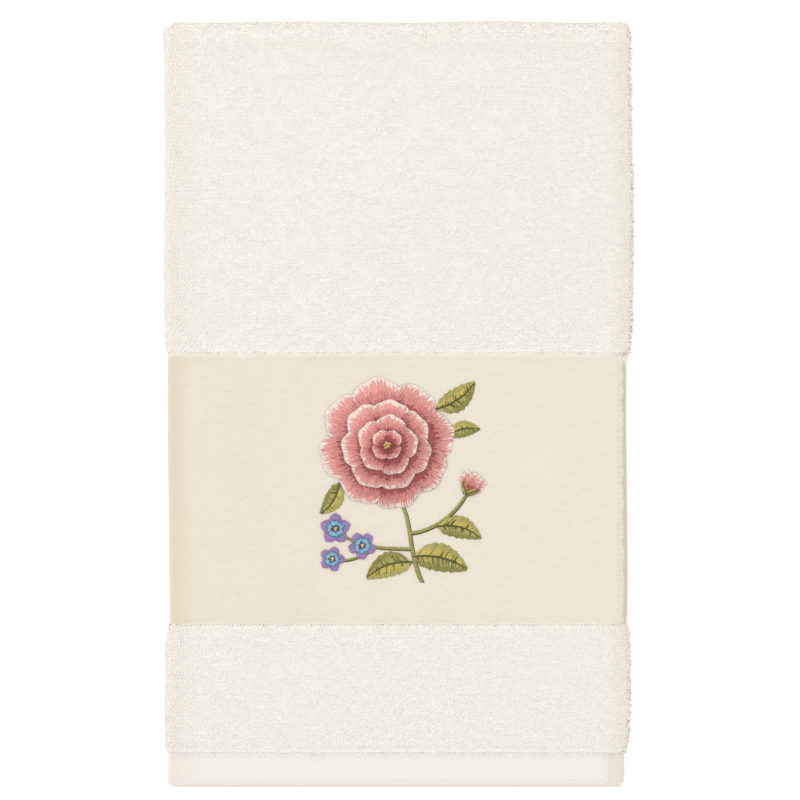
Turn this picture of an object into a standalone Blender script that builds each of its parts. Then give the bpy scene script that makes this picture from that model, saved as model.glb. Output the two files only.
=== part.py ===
"""Hand towel, folded to a quarter and lying flat with its banded end on top.

The towel is one woven length with a hem at each end. It is folded in half along its length with the wrong
sides together, and then in half across, so it lies in four layers. The fold down the left side joins the
first layer to the second and the third to the bottom one. The fold across the top joins the first layer to
the bottom one and the second to the third. The hems of all four layers lie together at the other end.

X runs across the folded towel, Y along it towards the top fold, and Z up from the surface under it. The
origin is under the middle of the folded towel. All sizes are in metres.
"""

import math
from collections import namedtuple

import bmesh
import bpy

# The towel as it comes off the sewing table
TOWEL_WIDTH = 0.406
TOWEL_LENGTH = 0.686

# One layer of the pile cloth, pile included, and the air between two layers that lie full on each other
PILE_CLOTH = 0.0039
LAYER_GAP = 0.0004

# How deep the hems at the two ends are
HEM_DEPTH = 0.0136

# The front half from its hem up to the top fold. left and right are the distances of the top layer's side
# edges from the centre line, thickness is that of one layer there, and air is the room between two layers.
Section = namedtuple("Section", "name above_hem left right thickness air")
SECTIONS = (
    Section("hem edge", 0.0, 0.1012, 0.0984, 0.0024, 0.0014),
    Section("hem corner", 0.0022, 0.1024, 0.1007, 0.0024, 0.0014),
    Section("hem seam", HEM_DEPTH, 0.1024, 0.1009, 0.0023, 0.0015),
    Section("pile over the seam", 0.0160, 0.1038, 0.1018, 0.0034, 0.0007),
    Section("lower pile", 0.0240, 0.1043, 0.1029, PILE_CLOTH, LAYER_GAP),
    Section("lower pile, middle", 0.0460, 0.1044, 0.1036, PILE_CLOTH, LAYER_GAP),
    Section("lower pile, end", 0.0712, 0.1037, 0.1025, 0.0038, LAYER_GAP),
    Section("band, lower edge", 0.0738, 0.1015, 0.1018, 0.0030, LAYER_GAP),
    Section("band, middle", 0.1300, 0.1020, 0.1014, 0.0030, LAYER_GAP),
    Section("band, upper edge", 0.1925, 0.1027, 0.1012, 0.0030, LAYER_GAP),
    Section("upper pile, start", 0.1952, 0.1033, 0.1028, 0.0038, LAYER_GAP),
    Section("upper pile, bulge", 0.2120, 0.1034, 0.1041, PILE_CLOTH, LAYER_GAP),
    Section("upper pile, middle", 0.2650, 0.1043, 0.1047, PILE_CLOTH, LAYER_GAP),
    Section("upper pile, top", 0.3300, 0.1051, 0.1035, PILE_CLOTH, LAYER_GAP),
)
# The far end has the same hem, and pile cloth above it with no band
FAR_END_ROWS = 5

# How far each layer's hem and free side edge lie back from those of the top layer, and how much of the
# towel, measured across the top fold, an edge takes to drift from its front layer to its far one
Layer = namedtuple("Layer", "name side_recess hem_recess")
TOP_LAYER = Layer("top", 0.0, 0.0)
SECOND_LAYER = Layer("second", -0.0004, 0.0010)
THIRD_LAYER = Layer("third", 0.0015, 0.0023)
BOTTOM_LAYER = Layer("bottom", 0.0006, 0.0014)
LOWER_FOLD_RECESS = 0.0005
LAYER_DRIFT = 0.080

# Soft troughs and ridges that the folded stack keeps. place_x and place_y are the middle of each, turn is
# the angle of its length from X in degrees, and height is taken from the top of the stack.
Ripple = namedtuple("Ripple", "name place_x place_y half_length half_width turn height")
RIPPLES = (
    Ripple("trough across the band, low", -0.066, -0.053, 0.030, 0.007, 4.0, -0.0005),
    Ripple("trough across the band, high", -0.074, -0.027, 0.018, 0.006, -6.0, -0.0004),
    Ripple("ridge beside the right hem", 0.076, -0.030, 0.050, 0.012, 86.0, 0.0004),
    Ripple("swell of the upper pile", -0.020, 0.100, 0.070, 0.035, 12.0, 0.0005),
    Ripple("dip of the upper pile", 0.060, 0.060, 0.040, 0.020, -20.0, -0.0004),
    Ripple("swell of the lower pile", -0.040, -0.128, 0.050, 0.012, 0.0, 0.0004),
)

# The top fold: a slow wave along its edge, and the round of its two corners seen from above
WAVE_DEPTH = 0.0006
WAVE_LENGTH = 0.083
WAVE_FADE = 0.050
TOP_CORNER_RADIUS = 0.0060

# Mesh steps: the longest stretch between two lines of points, the turns of each fold, and the lines that
# round a free edge, counted from it
LONGEST_ACROSS = 0.028
LONGEST_ALONG = 0.019
SIDE_FOLD_STEPS = 6
TOP_FOLD_STEPS = 10
EDGE_LINES = (0.0, 0.0006, 0.0019)
EDGE_MARGIN = 0.0070
LEAST_EDGE = 0.40

# Worked out from the above
SIDE_FOLD_HALF = math.pi * (PILE_CLOTH + LAYER_GAP) / 4
HALF_WIDTH = TOWEL_WIDTH / 2
TOP_FOLD_LENGTH = math.pi * 1.5 * (PILE_CLOTH + LAYER_GAP)
FLAT_LENGTH = (TOWEL_LENGTH - TOP_FOLD_LENGTH) / 2
STACK_HALF = 2 * PILE_CLOTH + 1.5 * LAYER_GAP
FOLDED_LENGTH = FLAT_LENGTH + STACK_HALF
HEM_Y = -FOLDED_LENGTH / 2
FOLD_Y = FOLDED_LENGTH / 2 - STACK_HALF


def between(first, last, share):
    return first + share * (last - first)


def smooth_step(value):
    """0 below 0, 1 above 1, and a soft rise between them."""
    value = min(max(value, 0.0), 1.0)
    return value * value * (3 - 2 * value)


def section_at(above_hem):
    """Left edge, right edge, layer thickness and air, read between the rows of SECTIONS."""
    for low, high in zip(SECTIONS, SECTIONS[1:]):
        if above_hem <= high.above_hem:
            share = max(above_hem - low.above_hem, 0.0) / (high.above_hem - low.above_hem)
            return [between(a, b, share) for a, b in zip(low[2:], high[2:])]
    return SECTIONS[-1][2:]


def far_end_at(above_hem):
    """Layer thickness and air of the lower half: a hem, and pile cloth above it."""
    return section_at(min(above_hem, SECTIONS[FAR_END_ROWS - 1].above_hem))[2:]


def edge_round(distance, thickness):
    """How much of its thickness the cloth has at this distance from a free edge."""
    inside = min(distance / (thickness / 2), 1.0)
    return max(math.sqrt(1 - (1 - inside) ** 2), LEAST_EDGE)


def corner_cut(angle):
    """How far a side edge draws in where the top fold turns, so that its corners are round from above."""
    height = STACK_HALF * math.sin(angle) - (STACK_HALF - TOP_CORNER_RADIUS)
    rise = min(max(height / TOP_CORNER_RADIUS, 0.0), 1.0)
    return TOP_CORNER_RADIUS * (1 - math.sqrt(1 - rise * rise))


def ripple_height(x, y):
    """Height of all the soft ripples at a place on the top of the stack."""
    total = 0.0
    for ripple in RIPPLES:
        turn = math.radians(ripple.turn)
        dx, dy = x - ripple.place_x, y - ripple.place_y
        run = (dx * math.cos(turn) + dy * math.sin(turn)) / ripple.half_length
        side = (dy * math.cos(turn) - dx * math.sin(turn)) / ripple.half_width
        total += ripple.height * math.exp(-run * run - side * side)
    return total


def far_share(along):
    """0 on the front half of the towel, 1 on the far half, with a soft change over the top fold."""
    return smooth_step((along - TOWEL_LENGTH / 2) / LAYER_DRIFT + 0.5)


def recesses(across, along):
    """How far the free side edge and the hem lie back here, going from layer to layer round the folds."""
    outer = smooth_step(0.5 + across / (2 * SIDE_FOLD_HALF))
    far = far_share(along)
    front = [between(inner, top, outer) for inner, top in zip(SECOND_LAYER[1:], TOP_LAYER[1:])]
    back = [between(inner, bottom, outer) for inner, bottom in zip(THIRD_LAYER[1:], BOTTOM_LAYER[1:])]
    return [between(near, distant, far) for near, distant in zip(front, back)]


def fold_lengthwise(across, side, left, right, thickness, air, fullness):
    """Folds the width in two. Gives x, and the depth outward from the middle of the stack."""
    radius = (thickness + air) / 2
    centre_x = thickness + air / 2 - left
    offset = side * fullness * thickness / 2
    if abs(across) < SIDE_FOLD_HALF:
        angle = math.pi / 2 * across / SIDE_FOLD_HALF
        x = centre_x - (radius + offset) * math.cos(angle)
        return x, 2 * radius + (radius + offset) * math.sin(angle)
    reach = (abs(across) - SIDE_FOLD_HALF) / (HALF_WIDTH - SIDE_FOLD_HALF)
    depth = 2 * radius + math.copysign(radius + offset, across)
    return between(centre_x, right, reach), depth


def fold_point(across, along, side):
    """Takes a point of the flat towel to its place in the folded one.

    across runs from -HALF_WIDTH, the free edge of the inner layers, to HALF_WIDTH, that of the outer ones.
    along runs from the front hem to the far one. side is 1 on the right side of the cloth, -1 on the wrong.
    """
    to_hem = min(along, TOWEL_LENGTH - along)
    angle = math.pi * min(max((along - FLAT_LENGTH) / TOP_FOLD_LENGTH, 0.0), 1.0)
    above_hem = min(to_hem, FLAT_LENGTH)

    left, right, thickness, air = section_at(above_hem)
    lower_thickness, lower_air = far_end_at(above_hem)
    if along > TOWEL_LENGTH / 2:
        thickness, air = lower_thickness, lower_air

    side_recess, hem_recess = recesses(across, along)
    left -= far_share(along) * LOWER_FOLD_RECESS + corner_cut(angle)
    right -= side_recess + corner_cut(angle)
    fullness = edge_round(min(HALF_WIDTH - abs(across), to_hem), thickness)
    x, depth = fold_lengthwise(across, side, left, right, thickness, air, fullness)

    y = HEM_Y + above_hem + depth * math.sin(angle)
    y += hem_recess * (1 - smooth_step(above_hem / HEM_DEPTH))
    fade = smooth_step(1 - (FOLD_Y - y) / WAVE_FADE)
    y -= fade * WAVE_DEPTH * (1 - math.cos(2 * math.pi * x / WAVE_LENGTH)) / 2

    middle = 2 * lower_thickness + 1.5 * lower_air
    z = middle + depth * math.cos(angle)
    z *= 1 + ripple_height(x, y) / (2 * STACK_HALF)
    return x, y, z


def lines_between(marks, longest):
    """The marks in order, with even steps added where two of them are further apart than longest."""
    lines = [marks[0]]
    for start, end in zip(marks, marks[1:]):
        steps = math.ceil((end - start) / longest)
        lines += [between(start, end, step / steps) for step in range(1, steps + 1)]
    return lines


def lines_across():
    """Where the mesh has its lines across the flat towel."""
    edge = [HALF_WIDTH - distance for distance in (EDGE_MARGIN, *reversed(EDGE_LINES))]
    half = lines_between([SIDE_FOLD_HALF, *edge], LONGEST_ACROSS)
    turns = [step / SIDE_FOLD_STEPS for step in range(1, SIDE_FOLD_STEPS)]
    fold = [between(-SIDE_FOLD_HALF, SIDE_FOLD_HALF, turn) for turn in turns]
    return [-a for a in reversed(half)] + fold + half


def lines_along():
    """Where the mesh has its lines along the flat towel, from the front hem to the far one."""
    sections = [section.above_hem for section in SECTIONS]
    front = lines_between(sorted({*EDGE_LINES, *sections, FLAT_LENGTH}), LONGEST_ALONG)
    far = lines_between(sorted({*EDGE_LINES, *sections[:FAR_END_ROWS], FLAT_LENGTH}), LONGEST_ALONG)
    turns = [step / TOP_FOLD_STEPS for step in range(1, TOP_FOLD_STEPS)]
    fold = [FLAT_LENGTH + TOP_FOLD_LENGTH * turn for turn in turns]
    return front + fold + [TOWEL_LENGTH - a for a in reversed(far)]


def towel_mesh():
    """A flat slab with a line of points at each station, folded twice."""
    across, along = lines_across(), lines_along()
    mesh = bmesh.new()
    columns, rows = len(across) - 1, len(along) - 1
    bmesh.ops.create_grid(mesh, x_segments=columns, y_segments=rows, size=1.0)
    for vertex in mesh.verts:
        column = round((vertex.co.x + 1) / 2 * columns)
        row = round((vertex.co.y + 1) / 2 * rows)
        vertex.co = (across[column], along[row], -1)
    grown = bmesh.ops.extrude_face_region(mesh, geom=mesh.faces[:])
    raised = [part for part in grown["geom"] if isinstance(part, bmesh.types.BMVert)]
    bmesh.ops.translate(mesh, verts=raised, vec=(0, 0, 2))
    bmesh.ops.recalc_face_normals(mesh, faces=mesh.faces[:])
    for vertex in mesh.verts:
        vertex.co = fold_point(*vertex.co)
    data = bpy.data.meshes.new("towel")
    mesh.to_mesh(data)
    mesh.free()
    return data


def cotton():
    """Unbleached-white cotton."""
    material = bpy.data.materials.new("ivory cotton")
    material.use_nodes = True
    surface = material.node_tree.nodes["Principled BSDF"]
    surface.inputs["Base Color"].default_value = (0.88, 0.83, 0.74, 1)
    surface.inputs["Roughness"].default_value = 0.95
    surface.inputs["Metallic"].default_value = 0.0
    return material


for old in list(bpy.data.objects):
    bpy.data.objects.remove(old)

towel = bpy.data.objects.new("towel", towel_mesh())
towel.data.materials.append(cotton())
towel.data.shade_smooth()
towel.data.set_sharp_from_angle(angle=math.radians(40))
bpy.context.scene.collection.objects.link(towel)
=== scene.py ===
from collections import namedtuple

import bmesh
import bpy
import numpy as np
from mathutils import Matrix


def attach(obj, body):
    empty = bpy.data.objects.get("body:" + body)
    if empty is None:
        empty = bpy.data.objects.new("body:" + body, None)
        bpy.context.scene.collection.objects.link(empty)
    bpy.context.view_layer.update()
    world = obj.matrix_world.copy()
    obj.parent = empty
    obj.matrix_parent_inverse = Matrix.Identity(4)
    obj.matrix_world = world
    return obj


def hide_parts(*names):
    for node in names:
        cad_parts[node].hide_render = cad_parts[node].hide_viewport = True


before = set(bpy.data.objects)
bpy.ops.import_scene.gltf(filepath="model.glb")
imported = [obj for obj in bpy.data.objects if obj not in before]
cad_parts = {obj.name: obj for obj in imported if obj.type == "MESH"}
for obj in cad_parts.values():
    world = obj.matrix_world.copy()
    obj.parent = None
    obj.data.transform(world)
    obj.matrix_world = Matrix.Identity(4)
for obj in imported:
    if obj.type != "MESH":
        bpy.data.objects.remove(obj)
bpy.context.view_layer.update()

# ---- The ground cloth --------------------------------------------------------------------------------
# One woven cotton length, folded in half along its length and then in half across, so that its four
# layers lie on each other. It carries the pile, and shows bare at the flat woven hem of each end, where
# the cloth is turned in and stitched down.

TOWEL_WIDTH = 0.406
TOWEL_LENGTH = 0.686
PILE_CLOTH = 0.0039
LAYER_GAP = 0.0004
HEM_DEPTH = 0.0148
PILE_BED = 0.0037
BAND_LOW = 0.0722
BAND_HIGH = 0.1939

# The front half from its hem up: how far its side edges are from the centre line, the thickness of a layer
# with its pile, the air between two layers, and the thickness of the woven ground by itself
Section = namedtuple("Section", "above_hem left right layer air ground")
SECTIONS = (
    Section(0.0, 0.1026, 0.0984, 0.0024, 0.0014, 0.0024),
    Section(0.0007, 0.1034, 0.0992, 0.0024, 0.0014, 0.0024),
    Section(0.0024, 0.1037, 0.1007, 0.0024, 0.0014, 0.0024),
    Section(HEM_DEPTH - 0.0010, 0.1034, 0.1007, 0.0023, 0.0015, 0.0023),
    Section(HEM_DEPTH - 0.0001, 0.1036, 0.1008, 0.0023, 0.0015, 0.0021),
    Section(0.0158, 0.1042, 0.1010, 0.0035, 0.0006, 0.0031),
    Section(0.0185, 0.1048, 0.1019, 0.0038, 0.0005, PILE_BED),
    Section(0.0240, 0.1049, 0.1025, PILE_CLOTH, LAYER_GAP, PILE_BED),
    Section(0.0400, 0.1047, 0.1031, PILE_CLOTH, LAYER_GAP, PILE_BED),
    Section(0.0640, 0.1047, 0.1029, PILE_CLOTH, LAYER_GAP, PILE_BED),
    Section(0.0716, 0.1034, 0.1023, 0.0037, LAYER_GAP, PILE_BED - 0.0004),
    Section(0.0722, 0.1029, 0.1021, 0.0034, LAYER_GAP, 0.0018),
    Section(0.0732, 0.1027, 0.1020, 0.0030, LAYER_GAP, 0.0018),
    Section(0.0960, 0.1030, 0.1022, 0.0030, LAYER_GAP, 0.0018),
    Section(0.1600, 0.1037, 0.1015, 0.0030, LAYER_GAP, 0.0018),
    Section(0.1919, 0.1037, 0.1016, 0.0030, LAYER_GAP, 0.0018),
    Section(0.1938, 0.1041, 0.1026, 0.0037, LAYER_GAP, 0.0018),
    Section(0.1943, 0.1042, 0.1029, 0.0038, LAYER_GAP, PILE_BED),
    Section(0.2050, 0.1050, 0.1040, PILE_CLOTH, LAYER_GAP, PILE_BED),
    Section(0.2440, 0.1053, 0.1044, PILE_CLOTH, LAYER_GAP, PILE_BED),
    Section(0.2700, 0.1048, 0.1045, PILE_CLOTH, LAYER_GAP, PILE_BED),
    Section(0.2850, 0.1049, 0.1038, PILE_CLOTH, LAYER_GAP, PILE_BED),
    Section(0.3230, 0.1051, 0.1034, PILE_CLOTH, LAYER_GAP, PILE_BED),
    Section(0.3300, 0.1058, 0.1037, PILE_CLOTH, LAYER_GAP, PILE_BED),
)
FAR_END_PILE = 0.0240

# How far the side edge and the hem of each layer lie back from those of the top layer
Layer = namedtuple("Layer", "side_recess hem_recess")
TOP_LAYER = Layer(0.0, -0.0003)
SECOND_LAYER = Layer(0.0013, 0.0010)
THIRD_LAYER = Layer(0.0021, 0.0023)
BOTTOM_LAYER = Layer(0.0012, 0.0014)
LOWER_FOLD_RECESS = 0.0005
LAYER_DRIFT = 0.080

# Soft troughs and ridges that the folded stack keeps. place_x and place_y are the middle of each, turn is
# the angle of its length from X in degrees, and height is taken from the top of the stack.
Ripple = namedtuple("Ripple", "place_x place_y half_length half_width turn height")
RIPPLES = (
    Ripple(-0.066, -0.053, 0.030, 0.007, 4.0, -0.0005),
    Ripple(-0.074, -0.027, 0.018, 0.006, -6.0, -0.0004),
    Ripple(0.076, -0.030, 0.050, 0.012, 86.0, 0.0004),
    Ripple(-0.020, 0.100, 0.070, 0.035, 12.0, 0.0005),
    Ripple(0.060, 0.060, 0.040, 0.020, -20.0, -0.0004),
    Ripple(-0.040, -0.128, 0.050, 0.012, 0.0, 0.0004),
)
WAVE_DEPTH = 0.0006
WAVE_LENGTH = 0.083
WAVE_FADE = 0.050
TOP_CORNER_RADIUS = 0.0030
FOLD_REACH = 1.12

HALF_WIDTH = TOWEL_WIDTH / 2
SIDE_FOLD_HALF = np.pi * (PILE_CLOTH + LAYER_GAP) / 4
TOP_FOLD_LENGTH = np.pi * 1.5 * (PILE_CLOTH + LAYER_GAP)
FLAT_LENGTH = (TOWEL_LENGTH - TOP_FOLD_LENGTH) / 2
STACK_HALF = 2 * PILE_CLOTH + 1.5 * LAYER_GAP
HEM_Y = -(FLAT_LENGTH + STACK_HALF) / 2
FOLD_Y = (FLAT_LENGTH - STACK_HALF) / 2


def between(first, last, share):
    return first + share * (last - first)


def smooth_step(value):
    """0 below 0, 1 above 1, and a soft rise between them."""
    value = np.clip(value, 0, 1)
    return value * value * (3 - 2 * value)


def section_at(above_hem):
    """left, right, layer, air and ground, read between the rows of SECTIONS."""
    lines, *columns = zip(*SECTIONS)
    return [np.interp(above_hem, lines, column) for column in columns]


def ripple_height(x, y):
    total = 0
    for ripple in RIPPLES:
        turn = np.radians(ripple.turn)
        dx, dy = x - ripple.place_x, y - ripple.place_y
        run = (dx * np.cos(turn) + dy * np.sin(turn)) / ripple.half_length
        side = (dy * np.cos(turn) - dx * np.sin(turn)) / ripple.half_width
        total = total + ripple.height * np.exp(-run * run - side * side)
    return total


def folded(across, along, lift):
    """Takes places on the flat towel to the folded one.

    across runs from -HALF_WIDTH, the free edge of the inner layers, to HALF_WIDTH, that of the outer ones.
    along runs from the front hem to the far one. lift is the distance from the middle of the cloth, outward
    on its right side.
    """
    above_hem = np.minimum(np.minimum(along, TOWEL_LENGTH - along), FLAT_LENGTH)
    angle = np.pi * np.clip((along - FLAT_LENGTH) / TOP_FOLD_LENGTH, 0, 1)
    left, right, layer, air, _ = section_at(above_hem)
    _, _, low_layer, low_air, _ = section_at(np.minimum(above_hem, FAR_END_PILE))
    layer = np.where(along > TOWEL_LENGTH / 2, low_layer, layer)
    air = np.where(along > TOWEL_LENGTH / 2, low_air, air)

    outer = smooth_step(0.5 + across / (2 * SIDE_FOLD_HALF))
    far = smooth_step((along - TOWEL_LENGTH / 2) / LAYER_DRIFT + 0.5)
    front_recess = [between(inner, top, outer) for inner, top in zip(SECOND_LAYER, TOP_LAYER)]
    back_recess = [between(inner, low, outer) for inner, low in zip(THIRD_LAYER, BOTTOM_LAYER)]
    side_recess, hem_recess = [between(f, b, far) for f, b in zip(front_recess, back_recess)]

    corner_height = STACK_HALF * np.sin(angle) - (STACK_HALF - TOP_CORNER_RADIUS)
    corner_rise = np.clip(corner_height / TOP_CORNER_RADIUS, 0, 1)
    corner_cut = TOP_CORNER_RADIUS * (1 - np.sqrt(1 - corner_rise**2))
    left = left - far * LOWER_FOLD_RECESS - corner_cut
    right = right - side_recess - corner_cut

    radius = (layer + air) / 2
    centre_x = layer + air / 2 - left
    turn = np.pi / 2 * np.clip(across / SIDE_FOLD_HALF, -1, 1)
    reach = np.maximum((np.abs(across) - SIDE_FOLD_HALF) / (HALF_WIDTH - SIDE_FOLD_HALF), 0)
    x = centre_x - (radius + lift) * np.cos(turn) + reach * (right - centre_x)
    depth = 2 * radius + (radius + lift) * np.sin(turn)

    y = HEM_Y + above_hem + FOLD_REACH * depth * np.sin(angle)
    y = y + hem_recess * (1 - smooth_step(above_hem / HEM_DEPTH))
    fade = smooth_step(1 - (FOLD_Y - y) / WAVE_FADE)
    y = y - fade * WAVE_DEPTH * (1 + np.cos(2 * np.pi * x / WAVE_LENGTH)) / 2

    middle = 2 * low_layer + 1.5 * low_air
    z = middle + depth * np.cos(angle)
    z = z * (1 + ripple_height(x, y) / (2 * STACK_HALF))
    return np.column_stack((x, y, z))


def stations(*stretches):
    """Places in order along one direction, from stretches of (start, end, steps)."""
    runs = [np.linspace(start, end, steps + 1) for start, end, steps in stretches]
    return np.unique(np.concatenate(runs).round(7))


def folded_slab(name, across_lines, along_lines, lift):
    """A closed slab with a line of points at each place, folded with the towel.

    lift(across, along, side) is how far a face lies from the middle of the cloth, and side is 1 on the
    right side of the cloth and -1 on the wrong one. The flat place of each point is kept as its UV.
    """
    slab = bmesh.new()
    columns, rows = len(across_lines) - 1, len(along_lines) - 1
    bmesh.ops.create_grid(slab, x_segments=columns, y_segments=rows, size=1.0)
    grown = bmesh.ops.extrude_face_region(slab, geom=slab.faces[:])
    raised = [part for part in grown["geom"] if isinstance(part, bmesh.types.BMVert)]
    bmesh.ops.translate(slab, verts=raised, vec=(0, 0, 2))
    bmesh.ops.recalc_face_normals(slab, faces=slab.faces[:])
    mesh = bpy.data.meshes.new(name)
    slab.to_mesh(mesh)
    slab.free()

    flat = np.empty(len(mesh.vertices) * 3)
    mesh.vertices.foreach_get("co", flat)
    flat = flat.reshape(-1, 3)
    across = across_lines[np.rint((flat[:, 0] + 1) / 2 * columns).astype(int)]
    along = along_lines[np.rint((flat[:, 1] + 1) / 2 * rows).astype(int)]
    side = np.where(flat[:, 2] > 1, 1, -1)
    mesh.vertices.foreach_set("co", folded(across, along, lift(across, along, side)).ravel())

    corner_points = np.empty(len(mesh.loops), int)
    mesh.loops.foreach_get("vertex_index", corner_points)
    flat_places = mesh.uv_layers.new(name="flat cloth")
    flat_places.data.foreach_set("uv", np.column_stack((across, along))[corner_points].ravel())
    mesh.shade_smooth()
    piece = bpy.data.objects.new(name, mesh)
    bpy.context.scene.collection.objects.link(piece)
    return piece


# The hem's woven ribs, and the ridge where the turned side hem ends under it
RIB_PITCH = 0.0009
RIB_HEIGHT = 0.00004
SIDE_HEM_DEPTH = 0.0082
SIDE_HEM_RIDGE = 0.00022
SIDE_HEM_RIDGE_HALF = 0.0007
# The underside is pressed flat by the weight above it, up to this near its rim
PRESSED_RIM = 0.010
# The share of the ground's thickness that is left at its very edge
LEAST_EDGE = 0.40


def ground_lift(across, along, side):
    to_side = HALF_WIDTH - np.abs(across)
    to_hem = np.minimum(along, TOWEL_LENGTH - along)
    above_hem = np.where(along > TOWEL_LENGTH / 2, np.minimum(to_hem, FAR_END_PILE), to_hem)
    _, _, layer, _, ground = section_at(above_hem)
    half = ground / 2
    inside = np.clip(np.minimum(to_side, to_hem) / half, 0, 1)
    rounded = half * np.maximum(np.sqrt(1 - (1 - inside) ** 2), LEAST_EDGE)

    on_hem = 1 - smooth_step((to_hem - HEM_DEPTH + 0.0008) / 0.0008)
    ribs = RIB_HEIGHT * np.sin(2 * np.pi * to_hem / RIB_PITCH)
    ridge_place = (to_side - SIDE_HEM_DEPTH) / SIDE_HEM_RIDGE_HALF
    ridge = SIDE_HEM_RIDGE * (np.exp(-(ridge_place**2)) - 0.5 * np.exp(-((ridge_place + 1.6) ** 2)))
    woven = np.where(side > 0, on_hem * smooth_step(to_hem / 0.0012) * (ribs + ridge), 0)
    on_surface = (along > TOWEL_LENGTH / 2) & (across > 0)
    woven = np.where(on_surface, 0, woven)

    pressed = smooth_step((along - FLAT_LENGTH - TOP_FOLD_LENGTH) / PRESSED_RIM)
    pressed = pressed * smooth_step((across - SIDE_FOLD_HALF) / PRESSED_RIM)
    pressed = pressed * smooth_step(to_side / PRESSED_RIM) * smooth_step((to_hem - HEM_DEPTH) / PRESSED_RIM)
    flat_pile = np.where(side > 0, pressed * (layer / 2 - rounded), 0)
    return side * (rounded + flat_pile) + woven


edge = np.array((0.0, 0.0002, 0.0005, 0.0009, 0.0016, 0.003, 0.005))
across_lines = stations(
    (-HALF_WIDTH + 0.005, -SIDE_FOLD_HALF, 24),
    (-SIDE_FOLD_HALF, SIDE_FOLD_HALF, 12),
    (SIDE_FOLD_HALF, HALF_WIDTH - 0.012, 46),
    (HALF_WIDTH - 0.012, HALF_WIDTH - 0.005, 20),
)
across_lines = np.unique(np.concatenate((across_lines, edge - HALF_WIDTH, HALF_WIDTH - edge)).round(7))
along_lines = stations(
    (0.0, HEM_DEPTH + 0.0004, 62),
    (HEM_DEPTH + 0.0004, 0.0160, 3),
    (0.0160, BAND_LOW - 0.0025, 20),
    (BAND_LOW - 0.0025, BAND_LOW + 0.0005, 10),
    (BAND_LOW + 0.0005, BAND_HIGH - 0.0005, 20),
    (BAND_HIGH - 0.0005, BAND_HIGH + 0.0015, 10),
    (BAND_HIGH + 0.0015, FLAT_LENGTH, 30),
    (FLAT_LENGTH, FLAT_LENGTH + TOP_FOLD_LENGTH, 26),
    (FLAT_LENGTH + TOP_FOLD_LENGTH, TOWEL_LENGTH - 0.0160, 34),
    (TOWEL_LENGTH - 0.0160, TOWEL_LENGTH - 0.0030, 12),
    (TOWEL_LENGTH - 0.0030, TOWEL_LENGTH, 6),
)
ground = folded_slab("ground_cloth", across_lines, along_lines, ground_lift)


def new_material(name, base_roughness):
    """Begins a material: itself, its shader, its links, and a function that adds a node to it."""
    material = bpy.data.materials.new(name)
    material.use_nodes = True
    nodes, links = material.node_tree.nodes, material.node_tree.links
    shader = nodes["Principled BSDF"]
    shader.inputs["Roughness"].default_value = base_roughness

    def add(kind, *wires, **settings):
        """Adds a node. wires are (input name or number, output socket or plain value)."""
        node = nodes.new("ShaderNode" + kind)
        for setting, value in settings.items():
            setattr(node, setting, value)
        for socket, value in wires:
            if isinstance(value, bpy.types.NodeSocket):
                links.new(value, node.inputs[socket])
            else:
                node.inputs[socket].default_value = value
        return node

    return material, shader, links, add


# The functions from here to finish_shader work on the material that was begun last


def ramp(value, start, end, from_value=0.0, to_value=1.0):
    """An even rise or fall while another value goes from start to end."""
    node = add("MapRange", ("Value", value), ("From Min", start), ("From Max", end), ("To Min", from_value))
    node.inputs["To Max"].default_value = to_value
    return node.outputs[0]


def combined(first, second, operation):
    return add("Math", (0, first), (1, second), operation=operation).outputs[0]


def weighted(first, weight, second):
    """The first times its weight, plus the second."""
    return add("Math", (0, first), (1, weight), (2, second), operation="MULTIPLY_ADD").outputs[0]


def distance(place, line):
    return combined(combined(place, line, "SUBTRACT"), 0.0, "ABSOLUTE")


def waves(place, pitch, operation):
    """A SINE or COSINE that repeats at each pitch."""
    return combined(combined(place, 2 * np.pi / pitch, "MULTIPLY"), 0.0, operation)


def noise(place, scale, detail):
    return add("TexNoise", ("Vector", place), ("Scale", scale), ("Detail", detail)).outputs["Fac"]


def blended(share, first, second):
    return add("Mix", (0, share), (6, first), (7, second), data_type="RGBA").outputs[2]


def flat_places():
    """The place on the flat cloth, and how far that is across and along it."""
    place = add("UVMap", uv_map="flat cloth").outputs[0]
    split = add("SeparateXYZ", (0, place))
    return place, split.outputs[0], split.outputs[1]


def finish_shader(colour, height, bump_strength, bump_depth, sheen, sheen_roughness):
    """Gives the shader its colour, its fine relief and the soft shine of its fibres."""
    bump = add("Bump", ("Height", height), ("Strength", bump_strength), ("Distance", bump_depth))
    links.new(colour, shader.inputs["Base Color"])
    links.new(bump.outputs[0], shader.inputs["Normal"])
    shader.inputs["Sheen Weight"].default_value = sheen
    shader.inputs["Sheen Roughness"].default_value = sheen_roughness


BED_IVORY = (0.885, 0.850, 0.780, 1)
BED_SHADE = (0.845, 0.806, 0.731, 1)
HEM_IVORY = (0.85, 0.815, 0.76, 1)
HEM_SHADE = (0.79, 0.745, 0.67, 1)
# The colour of the painted shade near the edges, in the seam's groove, in the fold lines and under the
# stitches
EDGE_SHADE = (0.66, 0.60, 0.50, 1)
# A paler colour painted as light where the pile begins, which offsets the shadow of its loops
PILE_FOOT_LIGHT = (0.96, 0.93, 0.87, 1)
WARP_THREAD = 0.00075
WEFT_THREAD = 0.00045
# The feet of the loops show between them as fine strokes, which lean to one angle or the other in patches
STROKE_SIZE = (0.0005, 0.0013, 1)
STROKE_LEANS = (-38, 8)
STROKE_SWIRL = (0.0022, 0.0022, 0.0)
# How far the seam of the turned side hem is from its edge, and the pitch of fine lines of painted shade in
# the hem by the side fold
SIDE_HEM_SEAM = 0.0072
FOLD_LINE_PITCH = 0.0012

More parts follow.
